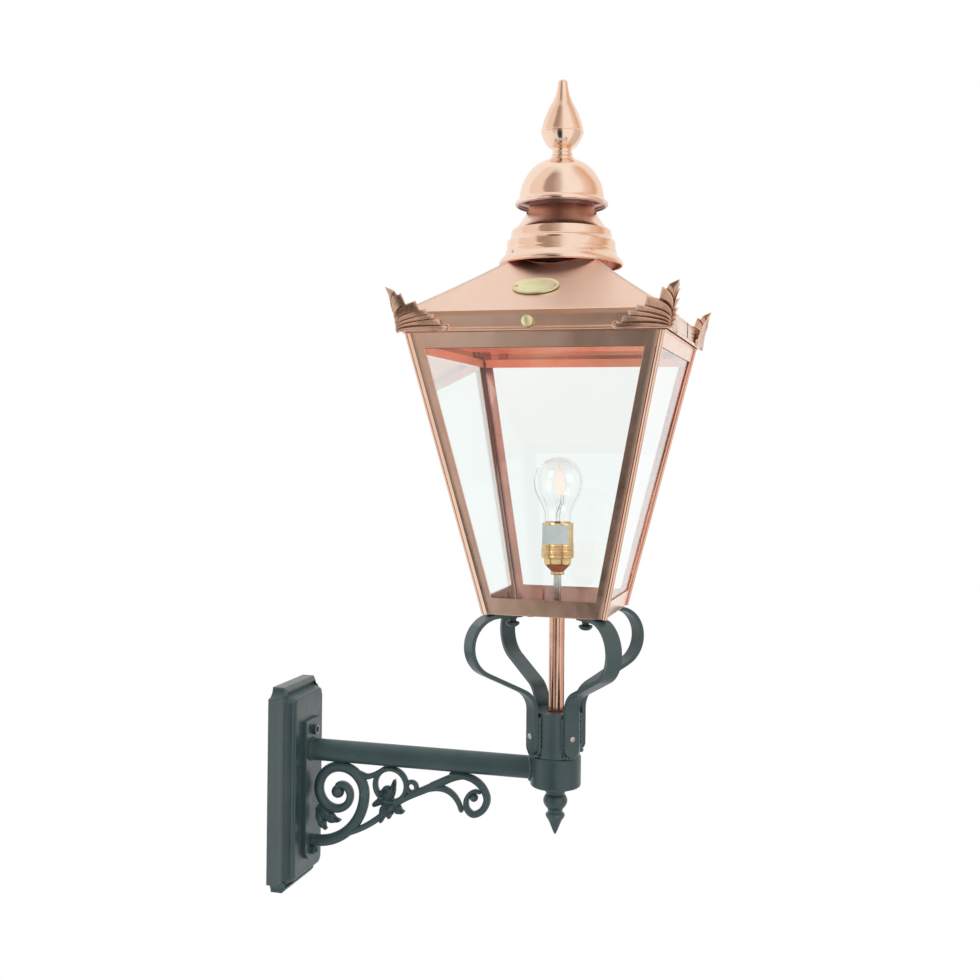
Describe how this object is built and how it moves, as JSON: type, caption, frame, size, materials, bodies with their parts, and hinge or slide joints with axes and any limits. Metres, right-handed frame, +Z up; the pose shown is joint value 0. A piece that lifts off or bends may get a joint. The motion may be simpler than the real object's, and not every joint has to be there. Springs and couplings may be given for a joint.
{
  "type": "outdoor wall light",
  "caption": "Glazed lantern with a hinged pitched roof, domed chimney and finial, in a strap cradle on a wall arm with a scroll bracket.",
  "frame": {"origin": "centre of the wall plate's back face, on the wall", "axes": "+X out of the wall along the arm, +Y across the plate towards the roof hinge, +Z up"},
  "size_m": [0.5257, 0.3346, 1.0225],
  "materials": {
    "paint": "satin",
    "casting": "satin paint over cast iron",
    "copper": "polished copper",
    "red_copper": "heat-reddened copper",
    "brass": "satin",
    "nickel": "bright nickel",
    "clear_glass": "clear",
    "porcelain": "glazed",
    "filament_wire": "glowing wire",
    "flex_sheath": "matt"
  },
  "bodies": {
    "bracket_and_body": {"wall_plate": "casting", "terminal_block": "porcelain", "terminal_screws": "brass", "arm_flange": "paint", "arm_tube": "paint", "scroll_bracket": "casting", "hub": "casting", "pendant_finial": "casting", "cradle_sleeve": "casting", "cradle_strap_1": "paint", "cradle_strap_2": "paint", "cradle_strap_3": "paint", "cradle_strap_4": "paint", "strap_screws": "nickel", "cradle_bolts": "brass", "cradle_nuts": "paint", "conduit": "copper", "conduit_collar": "red_copper", "nipple": "nickel", "nipple_nut": "brass", "holder_cap": "brass", "holder_shell": "brass", "shade_ring": "brass", "holder_insulator": "porcelain", "bulb_cap": "brass", "bulb_glass": "clear_glass", "bulb_stem": "clear_glass", "filament": "filament_wire", "internal_flex": "flex_sheath", "floor_tray": "copper", "corner_post_1": "copper", "corner_post_2": "copper", "corner_post_3": "copper", "corner_post_4": "copper", "top_frame": "copper", "glass_pane_1": "clear_glass", "glass_pane_2": "clear_glass", "glass_pane_3": "clear_glass", "glass_pane_4": "clear_glass", "glazing_clips": "copper", "hinge_leaves": "brass", "hinge_pins": "brass"},
    "roof": {"roof_hinge_leaves": "brass", "roof_shell": "copper", "chimney_base": "copper", "chimney_drum": "red_copper", "cross_bar": "copper", "dome_stud": "nickel", "stud_nuts": "nickel", "chimney_dome": "copper", "roof_finial": "copper", "corner_leaf_1": "copper", "corner_leaf_2": "copper", "corner_leaf_3": "copper", "corner_leaf_4": "copper", "plaque": "brass", "plaque_rivets": "copper"},
    "thumb_knob": {"thumb_knob": "brass"}
  },
  "joints": [
    {"name": "roof_hinge", "type": "hinge", "parent": "bracket_and_body", "child": "roof", "pos_m": [0.3584, 0.1561, 0.5755], "axis": [-1, 0, 0], "range_deg": [0, 95]},
    {"name": "knob_turn", "type": "hinge", "parent": "roof", "child": "thumb_knob", "pos_m": [0.356, -0.155, 0.5785], "axis": [0, -1, 0], "range_deg": [0, 360]}
  ]
}
